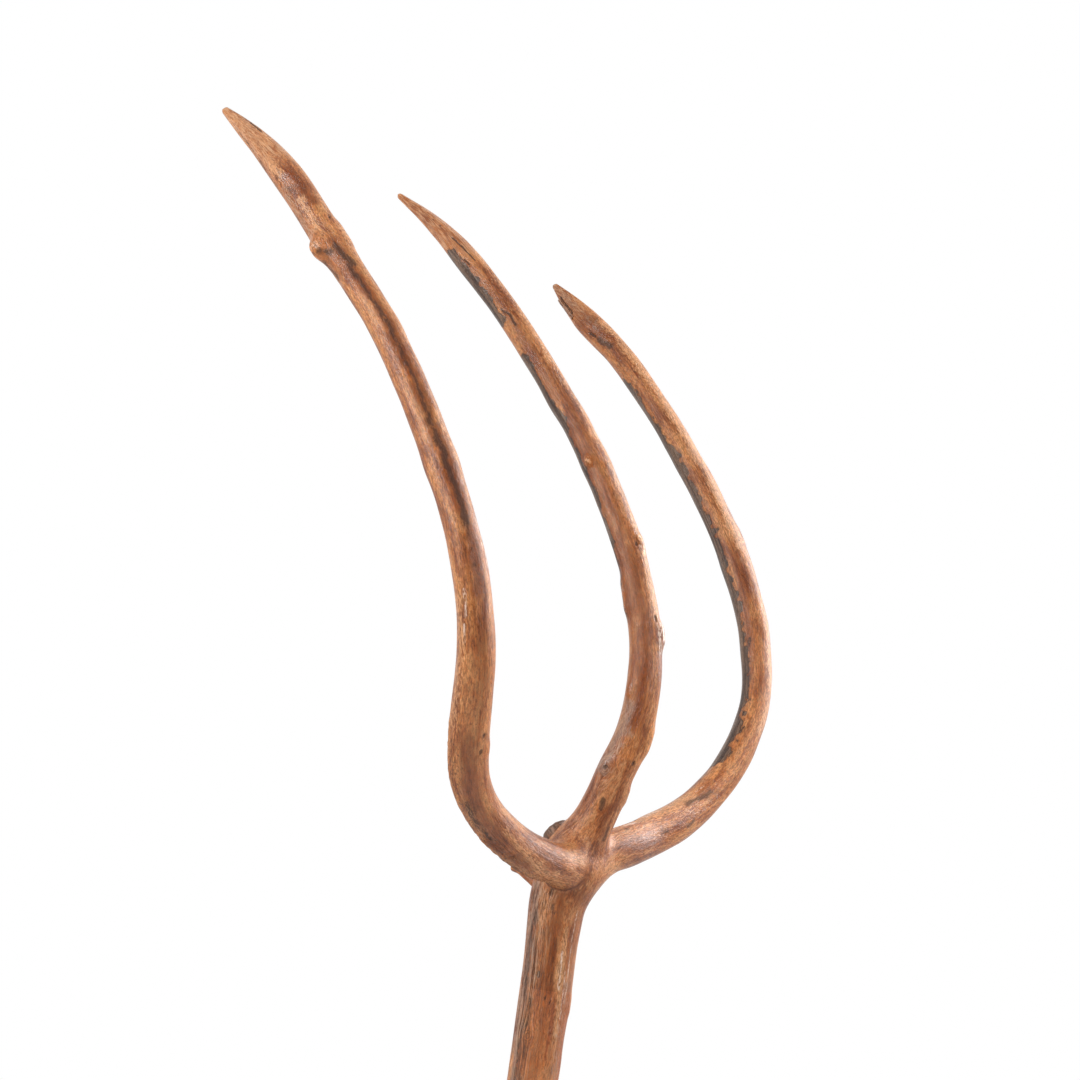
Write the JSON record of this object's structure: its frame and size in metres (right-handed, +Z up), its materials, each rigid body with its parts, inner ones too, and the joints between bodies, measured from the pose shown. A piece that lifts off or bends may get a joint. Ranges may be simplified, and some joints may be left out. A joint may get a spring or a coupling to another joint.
{
  "type": "wooden hay fork",
  "caption": "Tall hand fork of naturally forked wood: a long round handle that branches at a crotch into curved, forward-sweeping pointed tines for lifting hay.",
  "frame": {"origin": "centre of the sawn butt face at the foot of the handle", "axes": "+Z up the handle towards the tines, X across the fan of tines, +Y the way the tines sweep forward"},
  "size_m": [0.3954, 0.2892, 1.6669],
  "materials": {
    "handle_wood": "hand-polished, waxed patina, reddish brown with dark lengthwise grooves",
    "crotch_wood": "waxed patina over swirled, pitted grain",
    "tine_wood": "polished by use, orange brown with dark streaks, knots and scraped bark",
    "weathered_wood": "dull grey-brown weathered end grain"
  },
  "bodies": {
    "root": {"handle": "handle_wood", "crotch": "crotch_wood", "left_tine": "tine_wood", "middle_tine": "tine_wood", "right_tine": "tine_wood", "branch_stump": "weathered_wood", "twig_stub": "crotch_wood", "tip_splinter": "weathered_wood"}
  },
  "joints": []
}
